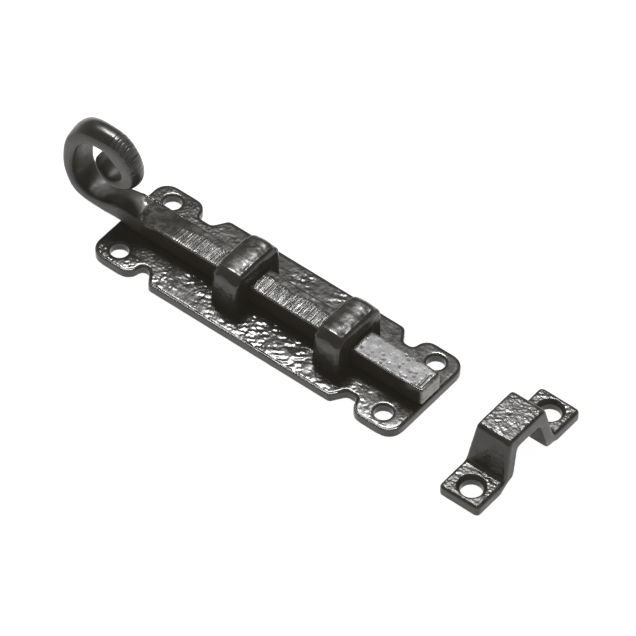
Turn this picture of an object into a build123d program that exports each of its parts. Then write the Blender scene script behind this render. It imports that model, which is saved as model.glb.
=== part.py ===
from build123d import *
import os

# A cast door bolt with a curled tail and its separate keep, in millimetres.
# The origin is the centre of the four screw holes, on the back face of the backplate.
# +X is the way the bar is thrown, +Z points away from the door, Y runs across the bar.

# --- backplate ---------------------------------------------------------------------------
PLATE_LENGTH = 102.0
PLATE_THICK = 3.2
EAR_HALF_WIDTH = 16.0            # centre line to the outside of a screw ear
WAIST_HALF_WIDTH = 15.5          # centre line to the long straight edges
EAR_CORNER = 4.6
EAR_INNER_CORNER = 3.8
NOTCH_DEPTH = 4.7                # from the outside of an ear down to the bottom of a notch
NOTCH_SLOPE = 0.8                # how far an ear's inner side leans into its notch
NOTCH_RADIUS = 1.5
SHOULDER_RUN = 2.8               # length of the slope that leads out of a notch
SHOULDER_RADIUS = 1.8
PLATE_EDGE = 0.8                 # rounding of the plate's front edge
# The four ears and notches of the casting differ a little: for each corner, as signs of
# X and Y, the length of the ear and the width across the bottom of its notch.
CORNERS = {
    (-1, 1): (14.6, 4.4),
    (1, 1): (13.8, 3.0),
    (1, -1): (14.2, 3.4),
    (-1, -1): (14.0, 2.4),
}
SCREW_PITCH_X = 88.5
SCREW_PITCH_Y = 22.0
SCREW_HOLE = 5.0
SCREW_RIM = 0.35                 # small countersink round each screw hole

# --- bar ---------------------------------------------------------------------------------
BAR_WIDTH = 8.4
BAR_BOTTOM = 3.85                # height of the underside above the door
BAR_TOP = 10.1
BAR_EDGE = 0.7
TIP_X = 51.3
TIP_EDGE = 0.6                   # rounding round the thrown end
TRAVEL = 30.0

# --- curled tail -------------------------------------------------------------------------
TAIL_ROOT_X = -44.0              # where the straight bar ends and the curl begins
TAIL_CORNER = 0.45               # rounding of the tail's four edges
TAIL_CORNER_SHARE = 0.3          # and at most this share of the height of its flat sides
# The tail's section is a bar with a flat inner side and a crowned outer side. Each row is one
# station along the scroll: X and Z of the crest of the outer side, X and Z of the middle of
# the inner side, the width along Y, how far the section has spread toward +Y, and how far the
# crest stands above the outer edges.
TAIL_STATIONS = [
    (-43.0, 4.0, -43.0, 10.1, 8.4, 0.0, 0.05),
    (-47.5, 4.1, -47.5, 10.05, 8.4, 0.0, 0.05),
    (-52.0, 3.95, -51.7, 9.4, 8.4, 0.0, 0.05),
    (-56.0, 3.85, -55.7, 8.2, 8.4, 0.0, 0.05),
    (-60.0, 3.85, -59.4, 7.6, 8.4, 0.0, 0.05),
    (-64.6, 4.6, -62.6, 8.1, 8.6, 0.1, 0.1),
    (-67.6, 7.1, -64.9, 9.8, 9.0, 0.3, 0.15),
    (-69.4, 11.2, -66.2, 12.6, 9.6, 0.6, 0.15),
    (-70.0, 16.0, -66.1, 16.2, 10.0, 0.8, 0.2),
    (-69.7, 20.4, -65.4, 19.9, 10.0, 0.8, 0.3),
    (-68.7, 24.8, -64.2, 22.9, 9.6, 0.6, 0.8),
    (-66.5, 28.4, -62.3, 25.0, 8.7, 0.3, 1.9),
    (-62.7, 31.0, -60.0, 25.9, 7.7, 0.0, 2.4),
    (-57.4, 31.6, -57.1, 26.1, 7.2, 0.0, 2.3),
    (-51.8, 30.6, -54.9, 25.0, 6.7, 0.0, 1.7),
    (-48.0, 27.1, -53.4, 23.0, 6.2, 0.0, 1.3),
    (-46.1, 22.3, -51.6, 21.2, 5.7, 0.0, 1.0),
    (-46.4, 17.9, -51.2, 18.9, 5.3, 0.0, 0.8),
    (-49.0, 14.8, -52.4, 17.1, 5.4, 0.0, 0.6),
    (-54.3, 13.2, -55.1, 16.1, 5.8, 0.0, 0.5),
    (-58.5, 15.1, -57.6, 17.1, 5.8, 0.0, 0.35),
    (-60.0, 18.1, -58.9, 18.5, 5.6, 0.0, 0.2),
    (-60.0, 20.4, -59.1, 20.4, 5.3, 0.0, 0.1),
    (-59.7, 21.6, -59.1, 21.5, 4.3, 0.0, 0.05),
]

# --- staples -----------------------------------------------------------------------------
REAR_STAPLE_X = -10.7
FRONT_STAPLE_X = 23.2
STAPLE_LENGTH = 9.2              # along the bar
STAPLE_HALF_WIDTH = 9.7
STAPLE_TOP = 15.5
STAPLE_CORNER = 3.3
STAPLE_EDGE = 1.5
SIDE_PLAY = 0.4                  # between the bar and a staple's legs
TOP_PLAY = 0.15                  # between the bar and a staple's roof
TENON_RADIUS = 1.6
TENON_HEAD = 0.6                 # how far the riveted end spreads into its countersink

# --- stop pin and bow spring -------------------------------------------------------------
PIN_RADIUS = 1.25
PIN_X = -4.0
PIN_BOTTOM = 0.8
PIN_SEAT = 3.2                   # depth of the pin's blind hole in the bar
PIN_PLAY = 0.1
PIN_CHAMFER = 0.25
SPRING_X = -18.0
SPRING_LENGTH = 14.0
SPRING_WIDTH = 5.0
SPRING_THICK = 0.4
SPRING_FOOT = 1.6
POCKET_DEPTH = 1.0
POCKET_PLAY = 0.25
POCKET_CORNER = 1.0
SPRING_GAP = 0.05                # between the spring's crown and the bar

# --- keep --------------------------------------------------------------------------------
KEEP_X = 77.0
KEEP_HOLE_SHIFT = 0.4            # the holes stand this much off the flanges' middle
KEEP_PITCH = 33.0
KEEP_HALF_LENGTH = 21.8
KEEP_FLANGE_WIDTH = 13.2
KEEP_FLANGE_THICK = 3.4
KEEP_FOOT_HALF = 10.6            # centre line to the outside of a leg at the flange
KEEP_TOP_HALF = 7.6              # centre line to the outside of a leg at the roof
KEEP_TOP = 15.5
KEEP_STRAP = 3.0
KEEP_ROOF = 4.1
KEEP_BRIDGE_WIDTH = 11.2
KEEP_HOLE = 5.8
KEEP_COUNTERSINK = 7.8
KEEP_ROOF_CORNER = 1.8
KEEP_INNER_CORNER = 1.2
KEEP_FOOT_FILLET = 1.0
KEEP_FRONT_HOLLOW = 5.5          # rounding under the foot of the leg on the -Y side
KEEP_BACK_HOLLOW = 1.2           # and on the +Y side
KEEP_END_CORNER = 1.4
KEEP_EDGE = 1.0                  # rounding of the edges along the flanges, legs and roof


NEAR = 0.1                       # slack when edges are chosen by their place


def save(part, name):
    part.label = name
    export_step(part, f"parts/{name}.step")


os.makedirs("parts", exist_ok=True)

passage_half = BAR_WIDTH / 2 + SIDE_PLAY
passage_top = BAR_TOP + TOP_PLAY
leg_y = (STAPLE_HALF_WIDTH + passage_half) / 2
bar_height = BAR_TOP - BAR_BOTTOM
bar_mid = (BAR_TOP + BAR_BOTTOM) / 2
staple_places = {"rear_staple": REAR_STAPLE_X, "front_staple": FRONT_STAPLE_X}
tenon_spots = [(x, side * leg_y) for x in staple_places.values() for side in (-1, 1)]

# --- backplate: lobed ears at the corners, notches, screw holes, pin slot, spring pocket ---
end_x = PLATE_LENGTH / 2
notch_y = EAR_HALF_WIDTH - NOTCH_DEPTH
pocket_length = SPRING_LENGTH + 2 * POCKET_PLAY
pocket_width = SPRING_WIDTH + 2 * POCKET_PLAY
outline_corners = []
for (sign_x, sign_y), (ear_length, notch_width) in CORNERS.items():
    ear_x = end_x - ear_length
    notch_x = ear_x - NOTCH_SLOPE
    shoulder_x = notch_x - notch_width
    quarter = [
        (end_x, EAR_HALF_WIDTH, EAR_CORNER),
        (ear_x, EAR_HALF_WIDTH, EAR_INNER_CORNER),
        (notch_x, notch_y, NOTCH_RADIUS),
        (shoulder_x, notch_y, NOTCH_RADIUS),
        (shoulder_x - SHOULDER_RUN, WAIST_HALF_WIDTH, SHOULDER_RADIUS),
    ]
    corner = [(sign_x * x, sign_y * y, radius) for x, y, radius in quarter]
    outline_corners += corner if sign_x != sign_y else corner[::-1]

with BuildPart() as backplate:
    with BuildSketch():
        with BuildLine():
            FilletPolyline(
                *[(x, y) for x, y, radius in outline_corners],
                radius=[radius for x, y, radius in outline_corners],
                close=True,
            )
        make_face()
    extrude(amount=PLATE_THICK)
    fillet(backplate.faces().sort_by(Axis.Z)[-1].outer_wire().edges(), PLATE_EDGE)
    with Locations(Plane.XY.offset(PLATE_THICK)):
        with GridLocations(SCREW_PITCH_X, SCREW_PITCH_Y, 2, 2):
            CounterSinkHole(SCREW_HOLE / 2, SCREW_HOLE / 2 + SCREW_RIM)
    with BuildSketch():
        with Locations((PIN_X + TRAVEL / 2, 0)):
            SlotCenterToCenter(TRAVEL + 2 * PIN_PLAY, 2 * (PIN_RADIUS + PIN_PLAY))
    extrude(amount=PLATE_THICK, mode=Mode.SUBTRACT)
    with BuildSketch(Plane.XY.offset(PLATE_THICK)):
        with Locations((SPRING_X, 0)):
            RectangleRounded(pocket_length, pocket_width, POCKET_CORNER)
    extrude(amount=-POCKET_DEPTH, mode=Mode.SUBTRACT)
    with Locations(Plane(origin=(0, 0, 0), x_dir=(1, 0, 0), z_dir=(0, 0, -1))):
        with Locations(tenon_spots):
            CounterSinkHole(TENON_RADIUS, TENON_RADIUS + TENON_HEAD, counter_sink_angle=90)
save(backplate.part, "backplate")

# --- staples: one arch each, with two round tenons riveted over behind the backplate ---
for name, staple_x in staple_places.items():
    with BuildPart() as staple:
        with BuildSketch(Plane.YZ.offset(staple_x)):
            with BuildLine():
                Polyline(
                    (-STAPLE_HALF_WIDTH, PLATE_THICK),
                    (-STAPLE_HALF_WIDTH, STAPLE_TOP),
                    (STAPLE_HALF_WIDTH, STAPLE_TOP),
                    (STAPLE_HALF_WIDTH, PLATE_THICK),
                    (passage_half, PLATE_THICK),
                    (passage_half, passage_top),
                    (-passage_half, passage_top),
                    (-passage_half, PLATE_THICK),
                    close=True,
                )
            make_face()
        extrude(amount=STAPLE_LENGTH / 2, both=True)
        top_corners = staple.edges().filter_by(Axis.X).group_by(Axis.Z)[-1]
        fillet(top_corners, STAPLE_CORNER)
        rims = []
        for edge in staple.faces().filter_by(Plane.YZ).edges():
            middle = edge.center()
            in_passage = abs(middle.Y) < passage_half + NEAR and middle.Z < passage_top + NEAR
            if middle.Z > PLATE_THICK + NEAR and not in_passage:
                rims.append(edge)
        fillet(rims, STAPLE_EDGE)
        with BuildSketch(Plane.XY.offset(PLATE_THICK)):
            with Locations((staple_x, leg_y), (staple_x, -leg_y)):
                Circle(TENON_RADIUS)
        extrude(amount=-PLATE_THICK)
        with BuildSketch(Plane.XY):
            with Locations((staple_x, leg_y), (staple_x, -leg_y)):
                Circle(TENON_RADIUS + TENON_HEAD)
        extrude(amount=TENON_HEAD, taper=45)
    save(staple.part, name)

# --- bolt bar: square bar with its tail drawn down and curled into a scroll ---
with BuildPart() as bolt_bar:
    with BuildSketch(Plane.YZ.offset(TAIL_ROOT_X)):
        with Locations((0, bar_mid)):
            RectangleRounded(BAR_WIDTH, bar_height, BAR_EDGE)
    extrude(amount=TIP_X - TAIL_ROOT_X)
    fillet(bolt_bar.faces().sort_by(Axis.X)[-1].edges(), TIP_EDGE)
    for crest_x, crest_z, inner_x, inner_z, width, shift, crown in TAIL_STATIONS:
        depth = Vector(crest_x - inner_x, 0, crest_z - inner_z)
        side_height = depth.length - crown
        station = Plane(
            origin=(inner_x, shift, inner_z),
            x_dir=(0, 1, 0),
            z_dir=Vector(0, 1, 0).cross(depth),
        )
        with BuildSketch(station):
            with BuildLine():
                Polyline(
                    (width / 2, side_height),
                    (width / 2, 0),
                    (-width / 2, 0),
                    (-width / 2, side_height),
                )
                ThreePointArc((-width / 2, side_height), (0, depth.length), (width / 2, side_height))
            make_face()
            fillet(vertices(), min(TAIL_CORNER, TAIL_CORNER_SHARE * side_height))
    loft()
    with BuildSketch(Plane.XY.offset(BAR_BOTTOM)):
        with Locations((PIN_X, 0)):
            Circle(PIN_RADIUS)
    extrude(amount=PIN_SEAT, mode=Mode.SUBTRACT)
save(bolt_bar.part, "bolt_bar")

# --- stop pin: pressed into the bar's underside, runs in the backplate's slot ---
with BuildPart() as stop_pin:
    with BuildSketch(Plane.XY.offset(PIN_BOTTOM)):
        with Locations((PIN_X, 0)):
            Circle(PIN_RADIUS)
    extrude(amount=BAR_BOTTOM + PIN_SEAT - PIN_BOTTOM)
    chamfer(stop_pin.edges().filter_by(GeomType.CIRCLE).sort_by(Axis.Z)[0], PIN_CHAMFER)
save(stop_pin.part, "stop_pin")

# --- bow spring: a bent leaf in the backplate's pocket that keeps the bar from rattling ---
spring_base = PLATE_THICK - POCKET_DEPTH
spring_rise = BAR_BOTTOM - SPRING_GAP - SPRING_THICK - spring_base
spring_crown = spring_rise + SPRING_THICK
spring_half = SPRING_LENGTH / 2
bow_half = spring_half - SPRING_FOOT

with BuildPart() as bow_spring:
    with BuildSketch(Plane(origin=(SPRING_X, 0, spring_base), x_dir=(1, 0, 0), z_dir=(0, -1, 0))):
        with BuildLine():
            Line((-spring_half, 0), (-bow_half, 0))
            ThreePointArc((-bow_half, 0), (0, spring_rise), (bow_half, 0))
            Line((bow_half, 0), (spring_half, 0))
            Line((spring_half, 0), (spring_half, SPRING_THICK))
            Line((spring_half, SPRING_THICK), (bow_half, SPRING_THICK))
            ThreePointArc((bow_half, SPRING_THICK), (0, spring_crown), (-bow_half, SPRING_THICK))
            Line((-bow_half, SPRING_THICK), (-spring_half, SPRING_THICK))
            Line((-spring_half, SPRING_THICK), (-spring_half, 0))
        make_face()
    extrude(amount=SPRING_WIDTH / 2, both=True)
save(bow_spring.part, "bow_spring")

# --- keep: two screwed flanges joined by a sloping-legged bridge ---
inner_top = KEEP_TOP - KEEP_ROOF
lean = (KEEP_FLANGE_WIDTH - KEEP_BRIDGE_WIDTH) / 2
rim_inside = KEEP_BRIDGE_WIDTH / 4
with BuildPart() as keep:
    with BuildSketch(Plane.YZ.offset(KEEP_X)):
        with BuildLine():
            Polyline(
                (-KEEP_HALF_LENGTH, 0),
                (-KEEP_HALF_LENGTH, KEEP_FLANGE_THICK),
                (-KEEP_FOOT_HALF, KEEP_FLANGE_THICK),
                (-KEEP_TOP_HALF, KEEP_TOP),
                (KEEP_TOP_HALF, KEEP_TOP),
                (KEEP_FOOT_HALF, KEEP_FLANGE_THICK),
                (KEEP_HALF_LENGTH, KEEP_FLANGE_THICK),
                (KEEP_HALF_LENGTH, 0),
                (KEEP_FOOT_HALF - KEEP_STRAP, 0),
                (KEEP_TOP_HALF - KEEP_STRAP, inner_top),
                (-KEEP_TOP_HALF + KEEP_STRAP, inner_top),
                (-KEEP_FOOT_HALF + KEEP_STRAP, 0),
                close=True,
            )
        make_face()
    extrude(amount=KEEP_FLANGE_WIDTH / 2, both=True)
    for side in (-1, 1):
        flank = Plane(
            origin=(KEEP_X + side * KEEP_FLANGE_WIDTH / 2, 0, KEEP_FLANGE_THICK),
            z_dir=(side * (KEEP_TOP - KEEP_FLANGE_THICK), 0, lean),
        )
        split(bisect_by=flank, keep=Keep.BOTTOM)
    fillet(keep.edges().filter_by(Axis.X).group_by(Axis.Z)[-1], KEEP_ROOF_CORNER)
    across = keep.edges().filter_by(Axis.X)
    fillet(across.filter_by_position(Axis.Z, inner_top - NEAR, inner_top + NEAR), KEEP_INNER_CORNER)
    across = keep.edges().filter_by(Axis.X)
    across = across.filter_by_position(Axis.Z, KEEP_FLANGE_THICK - NEAR, KEEP_FLANGE_THICK + NEAR)
    fillet(across.sort_by(Axis.Y)[1:3], KEEP_FOOT_FILLET)
    across = keep.edges().filter_by(Axis.X).group_by(Axis.Z)[0]
    fillet(across.sort_by(Axis.Y)[1], KEEP_FRONT_HOLLOW)
    across = keep.edges().filter_by(Axis.X).group_by(Axis.Z)[0]
    fillet(across.sort_by(Axis.Y)[2], KEEP_BACK_HOLLOW)
    ends = keep.faces().group_by(Axis.Y)[0].edges() + keep.faces().group_by(Axis.Y)[-1].edges()
    fillet(ends.filter_by_position(Axis.Z, NEAR, KEEP_FLANGE_THICK - NEAR), KEEP_END_CORNER)
    rims = []
    for face in keep.faces():
        lies_across = abs(face.normal_at().X) < NEAR
        if face.normal_at().Z > 0 and lies_across and face.center().Z > KEEP_FLANGE_THICK - NEAR:
            rims += [edge for edge in face.edges() if abs(edge.center().X - KEEP_X) > rim_inside]
    fillet(rims, KEEP_EDGE)
    with Locations(Plane.XY.offset(KEEP_FLANGE_THICK)):
        with Locations((KEEP_X + KEEP_HOLE_SHIFT, 0)):
            with GridLocations(0, KEEP_PITCH, 1, 2):
                CounterSinkHole(KEEP_HOLE / 2, KEEP_COUNTERSINK / 2)
save(keep.part, "keep")
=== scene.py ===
import math
from itertools import product

import bmesh
import bpy
import numpy as np
from mathutils import Matrix, Vector
from mathutils.kdtree import KDTree


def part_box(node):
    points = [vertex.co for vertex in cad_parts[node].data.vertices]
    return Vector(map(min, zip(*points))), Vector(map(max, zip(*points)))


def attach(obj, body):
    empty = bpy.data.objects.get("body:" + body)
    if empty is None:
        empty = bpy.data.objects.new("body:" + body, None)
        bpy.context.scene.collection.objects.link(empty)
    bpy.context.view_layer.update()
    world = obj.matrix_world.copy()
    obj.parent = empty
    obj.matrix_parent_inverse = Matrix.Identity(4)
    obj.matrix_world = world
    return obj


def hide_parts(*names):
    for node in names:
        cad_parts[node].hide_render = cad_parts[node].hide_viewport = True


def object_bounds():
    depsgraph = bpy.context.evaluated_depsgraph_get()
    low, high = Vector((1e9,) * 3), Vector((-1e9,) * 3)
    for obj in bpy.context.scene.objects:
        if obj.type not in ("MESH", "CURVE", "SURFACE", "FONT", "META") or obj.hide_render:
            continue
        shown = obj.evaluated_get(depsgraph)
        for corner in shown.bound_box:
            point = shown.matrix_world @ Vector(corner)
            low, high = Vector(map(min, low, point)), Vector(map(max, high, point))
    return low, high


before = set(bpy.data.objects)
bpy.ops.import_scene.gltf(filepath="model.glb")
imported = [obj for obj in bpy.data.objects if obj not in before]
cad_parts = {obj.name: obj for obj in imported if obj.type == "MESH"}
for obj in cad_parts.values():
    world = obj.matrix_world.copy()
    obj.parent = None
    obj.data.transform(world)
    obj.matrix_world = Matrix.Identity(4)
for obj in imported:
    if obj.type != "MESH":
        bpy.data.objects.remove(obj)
cad_low, cad_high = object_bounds()

# Cast door bolt in glossy black paint, with its keep standing in front of it.
# Lengths in this script are millimetres until a mesh is finished; the scene itself is in metres.
MM = 0.001
VOXEL = 0.2
FACE_LIMIT = 190000              # triangles that one finished piece may have
WELD = 0.0005                    # vertices of a CAD mesh closer than this are one
RELAX = 0.5                      # share of the way to its neighbours that a vertex moves in one step


# --- meshes -------------------------------------------------------------------------------
def corners_mm(node):
    """Lowest and highest corner of a CAD node, in millimetres."""
    low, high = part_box(node)
    return np.array(low) / MM, np.array(high) / MM


def with_modifier(mesh, kind, **settings):
    """The mesh as it is after one modifier."""
    holder = bpy.data.objects.new("holder", mesh)
    bpy.context.scene.collection.objects.link(holder)
    modifier = holder.modifiers.new(kind, kind)
    for key, value in settings.items():
        setattr(modifier, key, value)
    graph = bpy.context.evaluated_depsgraph_get()
    result = bpy.data.meshes.new_from_object(holder.evaluated_get(graph))
    bpy.data.objects.remove(holder)
    return result


def dense_mesh(node, voxel, smooth_steps):
    """A fine even mesh of a CAD node's surface, in millimetres."""
    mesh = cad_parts[node].data.copy()
    mesh.transform(Matrix.Scale(1 / MM, 4))
    mesh.materials.clear()
    work = bmesh.new()
    work.from_mesh(mesh)
    bmesh.ops.remove_doubles(work, verts=work.verts, dist=WELD)
    work.to_mesh(mesh)
    work.free()
    mesh = with_modifier(mesh, "REMESH", mode="VOXEL", voxel_size=voxel)
    return with_modifier(mesh, "SMOOTH", factor=RELAX, iterations=smooth_steps)


def read_points(mesh):
    points = np.empty(len(mesh.vertices) * 3, np.float32)
    mesh.vertices.foreach_get("co", points)
    return points.reshape(-1, 3).astype(float)


def read_normals(mesh):
    normals = np.empty(len(mesh.vertices) * 3, np.float32)
    mesh.vertex_normals.foreach_get("vector", normals)
    return normals.reshape(-1, 3).astype(float)


def write_points(mesh, points):
    mesh.vertices.foreach_set("co", points.astype(np.float32).ravel())
    mesh.update()


def write_mask(mesh, name, values):
    attribute = mesh.attributes.new(name, "FLOAT", "POINT")
    attribute.data.foreach_set("value", values.astype(np.float32))


def neighbour_mean(mesh):
    """A function that averages a value at each vertex over the vertices around it."""
    edges = np.empty(len(mesh.edges) * 2, np.int32)
    mesh.edges.foreach_get("vertices", edges)
    a, b = edges.reshape(-1, 2).T
    size = len(mesh.vertices)
    count = np.bincount(a, minlength=size) + np.bincount(b, minlength=size)

    def average(values):
        total = np.bincount(a, values[b], size) + np.bincount(b, values[a], size)
        return total / np.maximum(count, 1)

    return average


def soften(mesh, points, share, steps):
    """The points relaxed towards their neighbours, by share at each vertex, to round the edges off."""
    average = neighbour_mean(mesh)
    soft = points.copy()
    for _ in range(steps):
        mean = np.stack([average(soft[:, axis]) for axis in range(3)], axis=1)
        soft += share[:, None] * (mean - soft)
    return soft


def bulge(mesh, points, normals, spread_steps):
    """How far each vertex stands out of its surroundings: above 0 on an edge, below 0 in a corner."""
    smooth = soften(mesh, points, np.ones(len(points)), spread_steps)
    stand = ((points - smooth) * normals).sum(1)
    return neighbour_mean(mesh)(stand)


def wall_distance(points, walls, reach):
    """Distance from each point to the nearest wall point, up to reach."""
    tree = KDTree(len(walls))
    for index, wall in enumerate(walls):
        tree.insert(wall, index)
    tree.balance()
    return np.array([min(tree.find(point)[2], reach) for point in points])


# --- noise --------------------------------------------------------------------------------
AXIS_PRIMES = (73856093, 19349663, 83492791)
SEED_PRIME = 2654435761
MIXERS = ((15, 2246822519), (13, 3266489917))
WORD = 0xFFFFFFFF                # the hash keeps 32 bits
TENTH = 0x3FF                    # of which each axis takes ten
NOISE_GAIN = 1.5


def lattice(cell, seed):
    """One repeatable random direction for every cell of a unit lattice."""
    mixed = np.full(len(cell), seed * SEED_PRIME)
    for axis, prime in enumerate(AXIS_PRIMES):
        mixed = mixed ^ (cell[:, axis] * prime)
    for shift, factor in MIXERS:
        mixed = ((mixed ^ (mixed >> shift)) * factor) & WORD
    mixed = mixed ^ (mixed >> 16)
    parts = [(mixed >> shift) & TENTH for shift in (0, 10, 20)]
    return np.stack(parts, axis=1) / (TENTH / 2) - 1.0


def wave(points, size, seed):
    """Smooth gradient noise, about -1 to 1, with features as large as size, one number or one per axis."""
    scaled = points / np.asarray(size, float)
    cell = np.floor(scaled).astype(np.int64)
    inside = scaled - cell
    ease = inside ** 3 * (inside * (inside * 6 - 15) + 10)
    total = np.zeros(len(points))
    for corner in product((0, 1), repeat=3):
        offset = np.array(corner)
        slope = lattice(cell + offset, seed)
        weight = np.where(offset, ease, 1 - ease).prod(1)
        total += weight * (slope * (inside - offset)).sum(1)
    return total * NOISE_GAIN


def ramp(values, start, end):
    """0 below start, 1 above end, smooth between."""
    t = np.clip((values - start) / (end - start), 0, 1)
    return t * t * (3 - 2 * t)


def turned(points, degrees):
    """The points turned about Z, for noise that runs across the piece at an angle."""
    c, s = math.cos(math.radians(degrees)), math.sin(math.radians(degrees))
    x, y, z = points.T
    return np.stack([c * x + s * y, c * y - s * x, z], axis=1)


def noises(points, table):
    """Every noise of a table at the points. The table gives each one its size, its seed and its turn."""
    return {name: wave(turned(points, turn), size, seed) for name, (size, seed, turn) in table.items()}


def window(values, rise, fall):
    """1 between two soft edges, 0 outside them. An edge is the pair of values that it runs between."""
    return ramp(values, *rise) * (1 - ramp(values, *fall))


# --- materials ----------------------------------------------------------------------------
BLACK = (0.0145, 0.0128, 0.0104, 1)
BLACK_DULL = (0.0200, 0.0184, 0.0160, 1)
BROWN = (0.050, 0.038, 0.028, 1)
DUST = (0.10, 0.10, 0.098, 1)
WORN = (0.085, 0.085, 0.087, 1)
# light warm grey of the bar's end face: worn iron, lightened further as a painted reflection of the bright
# floor
BARE_AND_REFLECTION = (0.270, 0.255, 0.235, 1)
WEAR_EDGE = (0.010, 0.05)        # an edge that stands out this far starts to wear, or is worn through its paint
STROKE_STRETCH = (1, 0.04, 0.2)  # makes the grinding strokes long across the bar
STROKE_DEPTH = 0.095
STROKE_WEAR = 0.6                # share of the paint that the strokes take off
TIP_ROUGHER = 0.20
MATT_ROUGHER = 0.25
PAINT_IOR = 1.5
DRAWN_STRETCH = (0.12, 1, 1)     # makes the steel's marks long in X
DRAWN_DEPTH = 0.01
STAIN_SHARE = 0.45               # brightness of stained steel against clean


def node_maker(material):
    """Shorthand for adding nodes to a material and wiring their inputs."""
    material.use_nodes = True
    tree = material.node_tree
    tree.nodes.clear()

    def make(kind, inputs=None, **settings):
        node = tree.nodes.new(kind)
        for key, value in settings.items():
            setattr(node, key, value)
        for key, value in (inputs or {}).items():
            if isinstance(value, bpy.types.NodeSocket):
                tree.links.new(value, node.inputs[key])
            else:
                node.inputs[key].default_value = value
        return node

    return make


def noise_value(make, place, feature, detail, distortion=0.0):
    """Noise with features of the given size in millimetres."""
    node = make("ShaderNodeTexNoise", {
        "Vector": place,
        "Scale": 1 / (feature * MM),
        "Detail": detail,
        "Distortion": distortion,
    })
    return node.outputs["Fac"]


def spread(make, value, low, high, out_low=0.0, out_high=1.0):
    """Maps low..high of a value to out_low..out_high, clamped."""
    node = make("ShaderNodeMapRange", {
        "Value": value,
        "From Min": low,
        "From Max": high,
        "To Min": out_low,
        "To Max": out_high,
    }, interpolation_type="SMOOTHSTEP")
    return node.outputs["Result"]


def math_node(make, operation, first, second):
    node = make("ShaderNodeMath", {0: first, 1: second}, operation=operation)
    return node.outputs[0]


def mix_colour(make, factor, first, second):
    node = make("ShaderNodeMix", {"Factor": factor}, data_type="RGBA")
    for key, value in (("A", first), ("B", second)):
        socket = [s for s in node.inputs if s.name == key and s.type == "RGBA"][0]
        if isinstance(value, bpy.types.NodeSocket):
            node.id_data.links.new(value, socket)
        else:
            socket.default_value = value
    return [s for s in node.outputs if s.type == "RGBA"][0]


def black_paint(name, roughness, grain, grain_height, ground=False):
    """Glossy black paint on an iron casting. grain is the size of its finest pimples in millimetres."""
    material = bpy.data.materials.new(name)
    make = node_maker(material)
    place = make("ShaderNodeTexCoord").outputs["Object"]
    wear = make("ShaderNodeAttribute", attribute_name="wear").outputs["Fac"]
    broken = noise_value(make, place, feature=0.9, detail=4, distortion=0.4)
    broken = spread(make, broken, low=0.38, high=0.62)
    edge = math_node(make, "MULTIPLY", spread(make, wear, *WEAR_EDGE), broken)
    clouds = spread(make, noise_value(make, place, feature=6.0, detail=3), low=0.35, high=0.65)
    colour = mix_colour(make, clouds, BLACK, BLACK_DULL)
    colour = mix_colour(make, edge, colour, BROWN)
    specks = noise_value(make, place, feature=0.28, detail=2)
    specks = spread(make, specks, low=0.72, high=0.82, out_high=0.35)
    colour = mix_colour(make, specks, colour, DUST)
    rough = noise_value(make, place, feature=2.2, detail=4)
    rough = spread(make, rough, low=0.3, high=0.7, out_low=roughness * 0.7, out_high=roughness * 1.4)
    matt = make("ShaderNodeAttribute", attribute_name="matt").outputs["Fac"]
    rough = math_node(make, "ADD", rough, math_node(make, "MULTIPLY", matt, MATT_ROUGHER))
    fine = noise_value(make, place, feature=grain, detail=3)
    bump = make("ShaderNodeBump", {"Height": fine, "Strength": 1.0, "Distance": grain_height * MM})
    normal = bump.outputs["Normal"]
    if ground:
        mask = make("ShaderNodeAttribute", attribute_name="ground").outputs["Fac"]
        lean = make("ShaderNodeMapping", {
            "Vector": place,
            "Rotation": (0, 0, math.radians(-GRIND_LEAN)),
            "Scale": STROKE_STRETCH,
        }).outputs["Vector"]
        strokes = spread(make, noise_value(make, lean, feature=0.50, detail=1.5), low=0.36, high=0.64)
        strokes = math_node(make, "MULTIPLY", strokes, mask)
        scratch = make("ShaderNodeBump", {
            "Height": strokes,
            "Strength": 1.0,
            "Distance": STROKE_DEPTH * MM,
            "Normal": normal,
        })
        normal = scratch.outputs["Normal"]
        colour = mix_colour(make, math_node(make, "MULTIPLY", strokes, STROKE_WEAR), colour, WORN)
        tip = make("ShaderNodeAttribute", attribute_name="tip").outputs["Fac"]
        grey = noise_value(make, place, feature=0.9, detail=5)
        grey = spread(make, grey, low=0.30, high=0.62, out_low=0.25)
        tip = math_node(make, "MULTIPLY", tip, grey)
        colour = mix_colour(make, tip, colour, WORN)
        # the bar's end face is mixed to a light warm grey: worn iron together with a painted reflection of
        # the floor
        bare_and_reflection = make("ShaderNodeAttribute", attribute_name="bare_and_reflection").outputs["Fac"]
        colour = mix_colour(make, math_node(make, "MULTIPLY", bare_and_reflection, grey), colour, BARE_AND_REFLECTION)
        rough = math_node(make, "ADD", rough, math_node(make, "MULTIPLY", tip, TIP_ROUGHER))
    shader = make("ShaderNodeBsdfPrincipled", {
        "Base Color": colour,
        "Roughness": rough,
        "IOR": PAINT_IOR,
        "Normal": normal,
    })
    make("ShaderNodeOutputMaterial", {"Surface": shader.outputs[0]})
    return material


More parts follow.
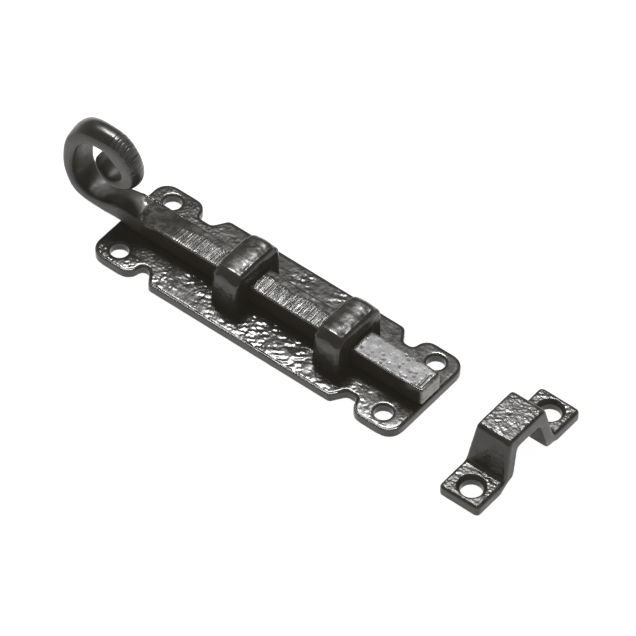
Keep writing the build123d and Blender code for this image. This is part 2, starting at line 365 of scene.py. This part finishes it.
def bare_steel(name, colour, roughness, grain):
    """Plain oiled steel with drawn marks."""
    material = bpy.data.materials.new(name)
    make = node_maker(material)
    place = make("ShaderNodeTexCoord").outputs["Object"]
    drawn = make("ShaderNodeMapping", {"Vector": place, "Scale": DRAWN_STRETCH}).outputs["Vector"]
    marks = noise_value(make, drawn, feature=grain, detail=3)
    stain = spread(make, noise_value(make, place, feature=2.5, detail=4), low=0.4, high=0.7)
    dark = tuple(STAIN_SHARE * c for c in colour[:3]) + (1,)
    tone = mix_colour(make, stain, colour, dark)
    rough = spread(make, marks, low=0.3, high=0.7, out_low=roughness * 0.8, out_high=roughness * 1.4)
    bump = make("ShaderNodeBump", {"Height": marks, "Strength": 1.0, "Distance": DRAWN_DEPTH * MM})
    shader = make("ShaderNodeBsdfPrincipled", {
        "Base Color": tone,
        "Metallic": 1.0,
        "Roughness": rough,
        "Normal": bump.outputs["Normal"],
    })
    make("ShaderNodeOutputMaterial", {"Surface": shader.outputs[0]})
    return material


# --- pieces -------------------------------------------------------------------------------
# Heights, depths and sizes are in millimetres. A soft edge is the pair of values that it runs between.
# A noise has its feature size, its seed and its turn about Z in degrees.
UP = (0.5, 0.95)                 # normal's Z on a face that looks up
GRIND_LEAN = 9.0                 # degrees between the grinding strokes and straight across the bar
WEAR_SPREAD = 6                  # relaxing steps against which an edge stands out


def finish_piece(mesh, name, node, body, material):
    """Thins the mesh to its limit, brings it to metres, gives it its material, hides the CAD node and sets
    the piece under its body.
    """
    triangles = sum(len(face.vertices) - 2 for face in mesh.polygons)
    if triangles > FACE_LIMIT:
        mesh = with_modifier(mesh, "DECIMATE", ratio=FACE_LIMIT / triangles)
    mesh.transform(Matrix.Scale(MM, 4))
    mesh.shade_smooth()
    mesh.name = name
    mesh.materials.clear()
    mesh.materials.append(material)
    piece = bpy.data.objects.new(name, mesh)
    bpy.context.scene.collection.objects.link(piece)
    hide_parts(node)
    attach(piece, body)
    return piece


def sink(mesh, points, normals, depth):
    """Moves the surface inwards by depth at each vertex, and outwards nowhere."""
    moved = points - normals * np.maximum(depth, 0)[:, None]
    write_points(mesh, moved)
    return moved


def mark_wear(mesh, points, share=1.0):
    """Marks the edges, where the paint wears first."""
    stand = bulge(mesh, points, read_normals(mesh), WEAR_SPREAD)
    write_mask(mesh, "wear", stand * share)


# The backplate: calm ears, lively stretches in front of the bar, ripples beside the front staple.
PLATE_RELAX = 22
PLATE_DOWN = (0.35, 0.9)
WALL_LEAN = 0.6                  # a wall's normal has less Z than this
WALL_FOOT = 0.6                  # and it starts this far above the floor
WALL_STEP = 3                    # every third wall vertex is enough to measure from
WALL_REACH = 6.0
SHORE = (0.2, 1.4)               # distance from a wall over which the bumps set in
PLATE_NOISE = {
    "patches": (5.5, 11, 0),
    "bumps": ((2.1, 1.2, 2.0), 12, 25.0),
    "pimples": (0.8, 13, 0),
    "ripples": ((4.5, 1.5, 2.0), 14, 43.0),
    "swell": (9.0, 16, 0),
    "side_waves": (3.0, 17, 0),
    "side_grain": (0.8, 18, 0),
    "back_waves": (3.0, 19, 0),
    "grain": (0.8, 20, 0),
}
PATCH_EDGE = (-0.35, 0.30)
BETWEEN_X, BETWEEN_Y = ((-8.0, -3.0), (17.0, 20.0)), (-6.5, -4.0)
BEHIND_X, BEHIND_Y = ((-27.0, -23.0), (-16.5, -15.0)), ((-12.0, -9.0), (-7.0, -5.0))
REAR_Y, REAR_GAP_X = (3.0, 5.0), ((-7.0, -3.0), (11.0, 15.0))
EARS_X = (33.0, 38.0)            # distance from the middle
LEFT_X = (24.0, 29.0)            # distance toward -X
RIPPLED_X, RIPPLED_Y = ((3.0, 9.0), (17.0, 19.5)), (-8.5, -6.0)
CALM, PATCHY, LIVELY, REAR_LESS = 0.20, 0.50, 0.8, 0.35
LIVELY_RANGE = (0.1, 1.15)
EARS_LESS = 0.45
LEFT_LESS = 0.55
PLATE_SKIN = 0.14                # depth of the cast skin under the CAD top
PLATE_SWELL = 0.08
FRONT_FALL = 0.20                # how far the top falls off to the -Y edge
FRONT_FALL_FROM = 9.5
FRONT_FALL_POWER = 1.5
PIMPLE_SHARE = 0.5
BUMP = 0.098
BUMP_LESS = 0.030                # taken off the bumps where the ripples are
RIPPLE = 0.13
GRAIN = 0.02
GRAIN_LEFT, GRAIN_LEFT_X = 0.03, (26.0, 30.0)
PLATE_SIDE, SIDE_WAVE, SIDE_GRAIN = 0.06, 0.03, 0.008
PLATE_BACK, BACK_WAVE = 0.05, 0.03


def plate_life(points, grain):
    """How lively the cast skin is at each point, about 0 to 1."""
    x, y = points[:, 0], points[:, 1]
    between = window(x, *BETWEEN_X) * (1 - ramp(y, *BETWEEN_Y))
    behind = window(x, *BEHIND_X) * window(y, *BEHIND_Y)
    rear = ramp(y, *REAR_Y) * (1 - window(x, *REAR_GAP_X))
    patches = ramp(grain["patches"], *PATCH_EDGE)
    life = CALM + PATCHY * patches + LIVELY * between + LIVELY * behind - REAR_LESS * rear
    life = np.clip(life, *LIVELY_RANGE)
    life *= 1 - EARS_LESS * ramp(np.abs(x), *EARS_X)
    return life * (1 - LEFT_LESS * ramp(-x, *LEFT_X))


def make_backplate(material):
    mesh = dense_mesh("backplate", VOXEL, PLATE_RELAX)
    points, normals = read_points(mesh), read_normals(mesh)
    low, high = corners_mm("backplate")
    x, y, z = points.T
    facing_up = ramp(normals[:, 2], *UP)
    facing_down = ramp(-normals[:, 2], *PLATE_DOWN)
    walls = points[(np.abs(normals[:, 2]) < WALL_LEAN) & (z > low[2] + WALL_FOOT)]
    away = ramp(wall_distance(points, walls[::WALL_STEP], WALL_REACH), *SHORE)
    grain = noises(points, PLATE_NOISE)
    rippled = window(x, *RIPPLED_X) * (1 - ramp(y, *RIPPLED_Y))
    bumps = grain["bumps"] + PIMPLE_SHARE * grain["pimples"]
    fall = FRONT_FALL * ramp(-y, FRONT_FALL_FROM, high[1]) ** FRONT_FALL_POWER
    top = PLATE_SKIN + PLATE_SWELL * grain["swell"] + fall
    relief = (BUMP - BUMP_LESS * rippled) * bumps + RIPPLE * rippled * grain["ripples"]
    top += away * plate_life(points, grain) * relief
    top += away * (GRAIN + GRAIN_LEFT * ramp(-x, *GRAIN_LEFT_X)) * grain["grain"]
    side = PLATE_SIDE + SIDE_WAVE * grain["side_waves"] + SIDE_GRAIN * grain["side_grain"]
    back = PLATE_BACK + BACK_WAVE * grain["back_waves"]
    depth = facing_up * top + facing_down * back + (1 - facing_up - facing_down) * side
    points = sink(mesh, points, normals, depth)
    mark_wear(mesh, points)
    return finish_piece(mesh, "backplate_casting", "backplate", "base", material)


# The staples: legs with draft, a crowned top that is dented toward its +X edge.
STAPLE_DETAIL = 0.9              # voxel against the other pieces'
STAPLE_RELAX = 8
STAPLE_SKIN = 0.10
DRAFT = 0.8                      # how far the legs lean in over their height
DRAFT_REAR = 0.6                 # share of that on the face toward the curl
LEG_FACE = (4.6, 5.6)            # distance from the middle where the legs begin
ROOF_FACE = (4.2, 3.4)           # depth under the top where the outside of the roof begins
DENTED_FROM, DENTED_TO = 4.6, 0.8
CROWN = 0.032
CROWN_REACH = 3.1
UPPER = (2.6, 0.8)               # depth under the top where the crown begins
DENT_SIZE, SMALL_DENT_SIZE, PIMPLE_SIZE = 4.4, 1.9, 0.9
SMALL_DENT_SHARE = 0.35
DENT, DENT_MORE = 0.09, 0.06
PIMPLE, PIMPLE_MORE = 0.012, 0.02
FOOT_EDGE = (-0.2, 0.5)          # height above the plate where the surface starts to sink
FOOT_BAND = 0.35
FOOT_LEAN = 0.6
FOOT_DROP = 0.45                 # the edge of the foot goes this far into the plate


def make_staple(node, material, seed):
    mesh = dense_mesh(node, VOXEL * STAPLE_DETAIL, STAPLE_RELAX)
    points, normals = read_points(mesh), read_normals(mesh)
    low, high = corners_mm(node)
    plate_top = corners_mm("backplate")[1][2]
    x, y, z = points.T
    grain = noises(points, {
        "dents": (DENT_SIZE, seed, 0),
        "small_dents": (SMALL_DENT_SIZE, seed + 1, 0),
        "pimples": (PIMPLE_SIZE, seed + 2, 0),
    })
    dents = grain["dents"] + SMALL_DENT_SHARE * grain["small_dents"]
    legs = ramp(np.abs(y), *LEG_FACE)
    outside = np.maximum(legs, ramp(z, high[2] - ROOF_FACE[0], high[2] - ROOF_FACE[1]))
    edgeward = ramp(x, low[0] + DENTED_FROM, high[0] - DENTED_TO)
    upper = ramp(z, high[2] - UPPER[0], high[2] - UPPER[1])
    along = np.abs(x - (low[0] + high[0]) / 2)
    crown = CROWN * np.minimum(along, CROWN_REACH) ** 2
    dented = DENT + DENT_MORE * edgeward * upper
    pimpled = PIMPLE + PIMPLE_MORE * edgeward * upper
    depth = outside * (STAPLE_SKIN + upper * crown + dented * dents + pimpled * grain["pimples"])
    rise = np.clip((z - plate_top) / (high[2] - plate_top), 0, 1)
    drafted = np.abs(normals[:, 1]) + DRAFT_REAR * np.maximum(-normals[:, 0], 0)
    depth += DRAFT * rise * drafted * legs
    depth *= ramp(z, plate_top + FOOT_EDGE[0], plate_top + FOOT_EDGE[1])
    points = sink(mesh, points, normals, depth)
    foot = (np.abs(points[:, 2] - plate_top) < FOOT_BAND) & (np.abs(normals[:, 2]) > FOOT_LEAN)
    points[foot, 2] -= FOOT_DROP
    write_points(mesh, points)
    mark_wear(mesh, points)
    return finish_piece(mesh, node + "_casting", node, "base", material)


# The bar: smooth worn tip, top ground across from the tip to near the tail, smooth curl behind.
BAR_RELAX = 2
BAR_UP = (0.6, 0.95)
CURL_RELAX = 70
CURL_FROM = (-50.0, -46.0)       # the curl's edges are rounded off behind this
BAR_END = -45.4                  # where the bar's straight top breaks off into the tail
BREAK_SLANT = -0.7
BREAK_WANDER, BREAK_CHIPS = 1.6, 0.7
BREAK_WANDER_SIZE, BREAK_CHIPS_SIZE = 2.6, 0.9
BREAK_EDGE = (-0.5, 0.6)
CURL_ABOVE = 12.0                # anything above this height is part of the curl
BAR_FACE = 8.0                   # anything facing up above this height on the bar is its top
TIP_ZONE = 29.0                  # beyond this the bar's top is worn smooth
TIP_EDGE = (-2.0, 1.0)
TIP_ROUND, TIP_ROUND_END = 0.7, 0.4
TIP_ROUND_FROM, TIP_ROUND_TO = 6.0, 1.5
BAR_NOISE = {
    "cast": (2.2, 32, 0),
    "cast_grain": (1.0, 33, 0),
    "strokes": ((0.62, 5.0, 2.0), 34, GRIND_LEAN),
    "pits": (0.7, 35, 0),
    "pitted": (5.0, 45, 0),
    "ground_swell": (5.0, 36, 0),
    "tip_waves": (2.0, 37, 0),
    "tip_swell": (5.0, 38, 0),
    "curl_swell": (5.0, 39, 0),
    "curl_top": (3.0, 42, 0),
    "curl_inside": (3.5, 43, 0),
    "curl_grain": (1.6, 44, 0),
}
CAST_GRAIN_SHARE = 0.5
GROUND_EDGE, GROUND_WANDER = 1.4, 1.3    # Y of the far edge of the ground stretch
GROUND_WANDER_SIZE = 7.0
GROUND_FADE = (-0.4, 0.5)
GROUND_FROM = (-38.0, -19.0)
PIT_EDGE = (0.36, 0.6)
PITTED_EDGE = (-0.3, 0.2)
BAR_SIDE, BAR_SIDE_WAVE = 0.08, 0.03
BAR_SKIN, CAST_CALM, CAST_MORE, CAST_BREAK = 0.10, 0.02, 0.03, 0.03
CAST_MORE_X = (-34.0, -20.0)
CAST_BREAK_X = (42.0, 44.5)      # distance toward -X
TAILWARD_FALL = 0.42             # how far the top falls toward the tail
TAILWARD_X = (26.0, 44.0)
GROUND_SLOPE = 0.055             # fall of the ground stretch for each millimetre toward -Y
STROKE, GROUND_SWELL = 0.03, 0.03
TIP_SKIN, TIP_FALL, TIP_WAVE, TIP_PIT, TIP_SWELL = 0.06, 0.32, 0.02, 0.10, 0.04
GROOVE_BACK = 2.0                # a hammered groove runs across this far behind the tip's end
GROOVE_BOW = 0.03
GROOVE_BOW_Y = -1.5
GROOVE_HALF = 0.24
GROOVE = 0.12
GROOVE_FADE = (0.5, 2.5)
CURL_EYE = (-56.0, 20.5)         # X and Z of the middle of the curl
CURL_RADIUS = 10.0
CROWN_X, CROWN_Z = (-56.0, -53.5), (21.0, 24.0)
CROWN_GROUND_X = (-54.5, -52.5)
CURL_OUTSIDE = (2.0, 5.0)
CURL_INSIDE = (0.5, 2.5)
CURL_SKIN, CURL_SWELL, CURL_TOP, CURL_STROKE = 0.09, 0.02, 0.03, 0.11
CURL_STROKE_SIZE = 0.75
CURL_STROKE_LEAN = 0.10
INSIDE_WAVE, INSIDE_GRAIN = 0.04, 0.03
ROOT = 0.40                      # depth of the hollow where the tail leaves the bar
ROOT_X, ROOT_FADE = (-62.0, -51.0), (10.6, 13.5)
NECK_X = (-53.0, -49.0)
ROOT_SHINE, CURL_MATT, NECK_MATT = 0.6, 0.35, 1.15
TOP_SHINE, TOP_SHINE_X = 0.30, (26.0, 38.0)
END_FACE, END_REACH = (0.5, 0.9), 3.0
LIP_EDGE = (-0.1, 0.1)
# the second share lightens the end face's colour: worn iron together with a painted reflection of the
# floor
LIP_SHINE, END_WEAR_AND_REFLECTION = 0.75, 0.4


def round_box(points, low, high, radius):
    """The points with everything outside the rounded edges of a box brought onto those edges."""
    core = np.clip(points, low + radius[:, None], high - radius[:, None])
    out = points - core
    length = np.linalg.norm(out, axis=1)
    share = np.minimum(1, radius / np.maximum(length, radius / 2))
    return core + out * share[:, None]


def round_bar(mesh, low, high):
    """Rounds the edges of the tip a little and those of the curl a lot."""
    points = read_points(mesh)
    tip = points[:, 0] > TIP_ZONE
    tip_low, tip_high = points[tip].min(0), points[tip].max(0)
    tip_low[0] = low[0]
    end = ramp(points[tip, 0], high[0] - TIP_ROUND_FROM, high[0] - TIP_ROUND_TO)
    points[tip] = round_box(points[tip], tip_low, tip_high, TIP_ROUND + TIP_ROUND_END * end)
    curl = 1 - ramp(points[:, 0], *CURL_FROM)
    write_points(mesh, soften(mesh, points, RELAX * curl, CURL_RELAX))


def curl_depth(points, normals, grain):
    """Depth of the curl's skin, with its ground crown, and masks of that crown and of the inside."""
    x, y, z = points.T
    arc = CURL_RADIUS * np.arctan2(z - CURL_EYE[1], x - CURL_EYE[0])
    outward = (x - CURL_EYE[0]) * normals[:, 0] + (z - CURL_EYE[1]) * normals[:, 2]
    inside = ramp(-outward, *CURL_INSIDE)
    crown = ramp(x, *CROWN_X) * ramp(z, *CROWN_Z) * ramp(outward, *CURL_OUTSIDE)
    across = np.stack([arc, CURL_STROKE_LEAN * y, arc * 0], axis=1)
    strokes = wave(across, CURL_STROKE_SIZE, 41)
    depth = CURL_SKIN + CURL_SWELL * grain["curl_swell"]
    depth += crown * (CURL_TOP * grain["curl_top"] + CURL_STROKE * strokes)
    depth += inside * (INSIDE_WAVE * grain["curl_inside"] + INSIDE_GRAIN * grain["curl_grain"])
    return depth, crown, inside


def make_bar(material):
    mesh = dense_mesh("bolt_bar", VOXEL, BAR_RELAX)
    low, high = corners_mm("bolt_bar")
    round_bar(mesh, low, high)
    points, normals = read_points(mesh), read_normals(mesh)
    x, y, z = points.T
    grain = noises(points, BAR_NOISE)
    facing_up = ramp(normals[:, 2], *BAR_UP)

    along_y = points * (0, 1, 0)
    bar_end = BAR_END + BREAK_SLANT * y
    bar_end += BREAK_WANDER * wave(along_y, BREAK_WANDER_SIZE, 40)
    bar_end += BREAK_CHIPS * wave(along_y, BREAK_CHIPS_SIZE, 46)
    straight = ramp(x, bar_end + BREAK_EDGE[0], bar_end + BREAK_EDGE[1]) * (z < CURL_ABOVE)
    top = straight * facing_up * (z > BAR_FACE)
    tip_zone = ramp(x, TIP_ZONE + TIP_EDGE[0], TIP_ZONE + TIP_EDGE[1])
    far_edge = GROUND_EDGE + GROUND_WANDER * wave(points * (1, 0, 0), GROUND_WANDER_SIZE, 31)
    ground = top * (1 - ramp(y, far_edge + GROUND_FADE[0], far_edge + GROUND_FADE[1])) * (1 - tip_zone)
    ground *= ramp(x, *GROUND_FROM)

    cast = grain["cast"] + CAST_GRAIN_SHARE * grain["cast_grain"]
    plain = BAR_SIDE + BAR_SIDE_WAVE * cast
    cast_height = CAST_CALM + CAST_MORE * ramp(x, *CAST_MORE_X) + CAST_BREAK * ramp(-x, *CAST_BREAK_X)
    rough_top = BAR_SKIN + cast_height * cast + TAILWARD_FALL * ramp(-x, *TAILWARD_X)
    worked = BAR_SKIN + GROUND_SLOPE * np.maximum(far_edge - y, 0)
    worked += STROKE * grain["strokes"] + GROUND_SWELL * grain["ground_swell"]
    pits = ramp(grain["pits"], *PIT_EDGE) * ramp(grain["pitted"], *PITTED_EDGE)
    to_front = 1 - (y - low[1]) / (-2 * low[1])
    groove_middle = high[0] - GROOVE_BACK - GROOVE_BOW * (y - GROOVE_BOW_Y) ** 2
    groove = np.exp(-((x - groove_middle) / GROOVE_HALF) ** 2) * (1 - ramp(y, *GROOVE_FADE))
    smooth = TIP_SKIN + TIP_FALL * to_front + TIP_WAVE * grain["tip_waves"] + TIP_PIT * pits
    smooth += TIP_SWELL * grain["tip_swell"] + GROOVE * groove

    curl, crown, inside = curl_depth(points, normals, grain)
    ground += crown * ramp(x, *CROWN_GROUND_X)
    root = ramp(x, *ROOT_X) * (1 - ramp(z, *ROOT_FADE)) * facing_up
    depth = (1 - straight) * (curl + ROOT * root) + straight * plain
    depth += top * ((1 - tip_zone) * (rough_top - plain) + ground * (worked - rough_top))
    depth += top * tip_zone * (smooth - plain)
    points = sink(mesh, points, normals, depth)

    neck = ramp(x, *NECK_X) * (z < CURL_ABOVE)
    matt = (1 - straight) * np.maximum(inside * (1 - ROOT_SHINE * root), CURL_MATT + NECK_MATT * neck)
    end_face = ramp(normals[:, 0], *END_FACE) * (x > high[0] - END_REACH)
    lip = ramp(x, groove_middle + LIP_EDGE[0], groove_middle + LIP_EDGE[1])
    write_mask(mesh, "ground", ground)
    write_mask(mesh, "matt", matt - TOP_SHINE * top * ramp(-x, *TOP_SHINE_X))
    # on the end face the worn and bare colours are a painted reflection of the bright floor as well as
    # worn iron
    write_mask(mesh, "tip", np.maximum(top * tip_zone * (1 - LIP_SHINE * lip), END_WEAR_AND_REFLECTION * end_face))
    write_mask(mesh, "bare_and_reflection", end_face)
    mark_wear(mesh, points, straight)
    return finish_piece(mesh, "bolt_bar_casting", "bolt_bar", "bolt", material)


# The keep: pimpled all over, most on the faces that look up, and matt inside its passage.
KEEP_DETAIL = 0.85
KEEP_RELAX = 26
LEG_RELAX = 120
LEG_FOOT = (2.0, 3.0)            # the corners under the legs are rounded off below this height
LEG_OUT = (10.0, 12.0)           # and closer to the middle than this
KEEP_DOWN = (0.5, 0.9)
KEEP_UNDER = 1.0
INNER_LEGS = 13.0                # the keep's passage is closer to its middle than this
INNER_LEAN = (0.4, 0.8)
PASSAGE_MATT = 2.0
KEEP_NOISE = {
    "bumps": (0.9, 51, 0),
    "small_bumps": (0.5, 52, 0),
    "swell": (4.0, 53, 0),
    "under": (2.5, 54, 0),
}
SMALL_BUMP_SHARE = 0.6
KEEP_SKIN, KEEP_SWELL, KEEP_BUMP, KEEP_BUMP_UP = 0.11, 0.05, 0.02, 0.042
KEEP_BACK, KEEP_BACK_WAVE = 0.05, 0.03


def make_keep(material):
    mesh = dense_mesh("keep", VOXEL * KEEP_DETAIL, KEEP_RELAX)
    points = read_points(mesh)
    under_legs = (1 - ramp(points[:, 2], *LEG_FOOT)) * (1 - ramp(np.abs(points[:, 1]), *LEG_OUT))
    write_points(mesh, soften(mesh, points, RELAX * under_legs, LEG_RELAX))
    points, normals = read_points(mesh), read_normals(mesh)
    y, z = points[:, 1], points[:, 2]
    grain = noises(points, KEEP_NOISE)
    facing_up = ramp(normals[:, 2], *UP)
    facing_down = ramp(-normals[:, 2], *KEEP_DOWN) * (z < KEEP_UNDER)
    bumps = grain["bumps"] + SMALL_BUMP_SHARE * grain["small_bumps"]
    depth = KEEP_SKIN + KEEP_SWELL * grain["swell"] + (KEEP_BUMP + KEEP_BUMP_UP * facing_up) * bumps
    depth = depth * (1 - facing_down) + facing_down * (KEEP_BACK + KEEP_BACK_WAVE * grain["under"])
    inner = ramp(-np.sign(y) * normals[:, 1], *INNER_LEAN) * (np.abs(y) < INNER_LEGS)
    write_mask(mesh, "matt", PASSAGE_MATT * inner)
    points = sink(mesh, points, normals, depth)
    mark_wear(mesh, points)
    return finish_piece(mesh, "keep_casting", "keep", "base", material)


# --- stage, light and camera --------------------------------------------------------------
VIEW_AZIMUTH = 37.8
VIEW_ELEVATION = 48.65
VIEW_ROLL = 1.15                 # the picture is turned clockwise by this much
VIEW_WIDTH = 166.4               # width of the view at the object
VIEW_DISTANCE = 2000.0
VIEW_END = 20.0                  # metres
AIM_RIGHT = 10.8                 # from the middle of the backplate's screw holes to the picture's centre
AIM_UP = -1.26
SENSOR = 36.0
VEIL = (0.0125, 0.0110, 0.0085)  # light that the lens adds to the darkest parts
FLOOR_HALF = 3.0                 # metres
FLOOR_GREY = (0.20, 0.20, 0.20, 1)
FLOOR_GLOW = 0.97
FLOOR_DROP = 0.02                # the floor lies this much under the object


def direction(azimuth, elevation):
    """Unit vector from the object to a viewer. Azimuth 0 is on the -Y side, 90 on the +X side."""
    a, e = math.radians(azimuth), math.radians(elevation)
    return Vector((math.sin(a) * math.cos(e), -math.cos(a) * math.cos(e), math.sin(e)))


def make_camera():
    back = direction(VIEW_AZIMUTH, VIEW_ELEVATION)
    level = Vector((0, 0, 1)).cross(back).normalized()
    upright = back.cross(level)
    c, s = math.cos(math.radians(VIEW_ROLL)), math.sin(math.radians(VIEW_ROLL))
    right = c * level + s * upright
    up = c * upright - s * level
    aim = right * AIM_RIGHT + up * AIM_UP
    place = (aim + back * VIEW_DISTANCE) * MM
    data = bpy.data.cameras.new("camera")
    data.sensor_width = SENSOR
    data.lens = SENSOR * VIEW_DISTANCE / VIEW_WIDTH
    data.clip_end = VIEW_END
    camera = bpy.data.objects.new("camera", data)
    axes = Matrix((right, up, back)).transposed().to_4x4()
    camera.matrix_world = Matrix.Translation(place) @ axes
    bpy.context.scene.collection.objects.link(camera)
    bpy.context.scene.camera = camera


def make_floor():
    material = bpy.data.materials.new("floor_white")
    make = node_maker(material)
    shader = make("ShaderNodeBsdfPrincipled", {
        "Base Color": FLOOR_GREY,
        "Roughness": 0.9,
        "Specular IOR Level": 0.1,
        "Emission Color": (1, 1, 1, 1),
        "Emission Strength": FLOOR_GLOW,
    })
    make("ShaderNodeOutputMaterial", {"Surface": shader.outputs[0]})
    mesh = bpy.data.meshes.new("floor")
    level = cad_low[2] - FLOOR_DROP * MM
    signs = ((-1, -1), (1, -1), (1, 1), (-1, 1))
    corners = [(FLOOR_HALF * x, FLOOR_HALF * y, level) for x, y in signs]
    mesh.from_pydata(corners, [], [(0, 1, 2, 3)])
    mesh.materials.append(material)
    floor = bpy.data.objects.new("floor", mesh)
    bpy.context.scene.collection.objects.link(floor)


def make_light(name, azimuth, elevation, distance, width, height, radiance):
    """A softbox in the given direction from the object, in metres, with an even radiance."""
    data = bpy.data.lights.new(name, "AREA")
    data.shape = "RECTANGLE"
    data.size = width
    data.size_y = height
    data.energy = radiance * width * height * math.pi
    back = direction(azimuth, elevation)
    light = bpy.data.objects.new(name, data)
    light.location = back * distance
    light.rotation_mode = "QUATERNION"
    light.rotation_quaternion = back.to_track_quat("Z", "Y")
    bpy.context.scene.collection.objects.link(light)


def make_world(radiance):
    world = bpy.data.worlds.new("studio")
    world.use_nodes = True
    tree = world.node_tree
    tree.nodes.clear()
    background = tree.nodes.new("ShaderNodeBackground")
    background.inputs["Color"].default_value = (1, 1, 1, 1)
    background.inputs["Strength"].default_value = radiance
    output = tree.nodes.new("ShaderNodeOutputWorld")
    tree.links.new(background.outputs[0], output.inputs[0])
    bpy.context.scene.world = world


def set_tone():
    """Plain tone response whose blacks are lifted a little and warm, as by the veil of a lens."""
    view = bpy.context.scene.view_settings
    view.view_transform = "Standard"
    view.use_curve_mapping = True
    view.curve_mapping.black_level = [-level for level in VEIL]
    view.curve_mapping.update()


# --- build --------------------------------------------------------------------------------
make_camera()
make_floor()
make_world(radiance=0.22)
make_light("key_softbox", azimuth=222, elevation=64, distance=1.6, width=0.50, height=0.30, radiance=52)
make_light("fill_softbox", azimuth=213, elevation=52, distance=1.75, width=0.80, height=0.28, radiance=1.5)
set_tone()

plate_paint = black_paint("plate_paint", roughness=0.17, grain=0.40, grain_height=0.010)
staple_paint = black_paint("staple_paint", roughness=0.21, grain=0.50, grain_height=0.006)
bar_paint = black_paint("bar_paint", roughness=0.18, grain=0.45, grain_height=0.008, ground=True)
keep_paint = black_paint("keep_paint", roughness=0.25, grain=0.35, grain_height=0.016)
pin_steel = bare_steel("pin_steel", colour=(0.42, 0.41, 0.39, 1), roughness=0.32, grain=0.4)
spring_steel = bare_steel("spring_steel", colour=(0.30, 0.31, 0.33, 1), roughness=0.30, grain=0.5)

make_backplate(plate_paint)
make_staple("rear_staple", staple_paint, seed=61)
make_staple("front_staple", staple_paint, seed=71)
make_bar(bar_paint)
make_keep(keep_paint)
for node, material in (("stop_pin", pin_steel), ("bow_spring", spring_steel)):
    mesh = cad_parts[node].data
    mesh.materials.clear()
    mesh.materials.append(material)
